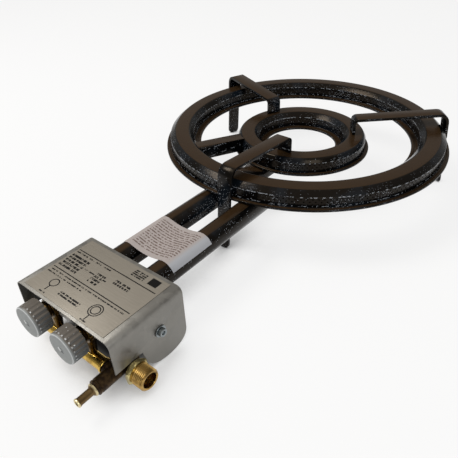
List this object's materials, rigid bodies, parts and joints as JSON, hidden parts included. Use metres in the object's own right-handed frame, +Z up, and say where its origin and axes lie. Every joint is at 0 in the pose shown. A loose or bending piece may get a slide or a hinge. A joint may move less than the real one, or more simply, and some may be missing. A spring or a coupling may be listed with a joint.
{
  "type": "two-ring propane burner",
  "caption": "Round gas burner with concentric pressed flame rings on bent-bar legs that carry the pan, long mixing tubes, a sheet-metal valve box and turn-and-push tap knobs.",
  "frame": {"origin": "on the floor under the middle of the whole burner: midway between the hose tail's tip and the far side of the outer ring, and in line with the ring's middle from side to side", "axes": "+Z up; -Y from the rings towards the knobs, where the user stands; +X to the user's right, where the gas inlet nipple is"},
  "size_m": [0.38, 0.6396, 0.104],
  "materials": {
    "enamel": "glossy black enamel, slightly orange-peeled and speckled",
    "galvanised": "satin galvanised sheet with a soft spangle",
    "plate": "satin foil, bare of lettering",
    "steel": "bright zinc plating",
    "brass": "turned, bright, lightly tarnished",
    "aged_brass": "dark brown tarnish with bright edges",
    "grey_plastic": "mid-grey moulded plastic with fine pale specks",
    "paper": "thin matt paper, slightly pink"
  },
  "bodies": {
    "burner": {"outer_ring_top": "enamel", "outer_ring_pan": "enamel", "inner_ring_top": "enamel", "inner_ring_pan": "enamel", "crossover_duct": "enamel", "pan_support_front": "enamel", "pan_support_left": "enamel", "pan_support_right": "enamel", "outer_mixing_tube": "enamel", "inner_mixing_tube": "enamel", "valve_box_cover": "galvanised", "bare_rating_plate": "plate", "box_bracket": "galvanised", "left_box_screw": "steel", "left_box_washer": "steel", "right_box_screw": "steel", "right_box_washer": "steel", "left_tube_cap": "steel", "left_injector": "brass", "left_tap_body": "brass", "left_gland_nut": "brass", "right_tube_cap": "steel", "right_injector": "brass", "right_tap_body": "brass", "right_gland_nut": "brass", "gas_rail": "brass", "rail_end_plug": "brass", "rail_union": "brass", "inlet_body": "aged_brass", "hose_tail": "aged_brass", "inlet_nipple": "brass", "instruction_sheet": "paper"},
    "left_plug": {"left_tap_plug": "brass"},
    "left_spindle": {"left_tap_stem": "brass", "left_knob": "grey_plastic"},
    "right_plug": {"right_tap_plug": "brass"},
    "right_spindle": {"right_tap_stem": "brass", "right_knob": "grey_plastic"}
  },
  "joints": [
    {"name": "left_knob_turn", "type": "hinge", "parent": "burner", "child": "left_plug", "pos_m": [-0.0154, -0.3, 0.0526], "axis": [0, -1, 0], "range_deg": [0, 210]},
    {"name": "left_knob_push", "type": "slide", "parent": "left_plug", "child": "left_spindle", "axis": [0, 1, 0], "range_m": [0, 0.0025], "stiffness_N_per_m": 500, "springref_m": -0.003},
    {"name": "right_knob_turn", "type": "hinge", "parent": "burner", "child": "right_plug", "pos_m": [0.0344, -0.3, 0.0526], "axis": [0, -1, 0], "range_deg": [0, 210]},
    {"name": "right_knob_push", "type": "slide", "parent": "right_plug", "child": "right_spindle", "axis": [0, 1, 0], "range_m": [0, 0.0025], "stiffness_N_per_m": 500, "springref_m": -0.003}
  ]
}
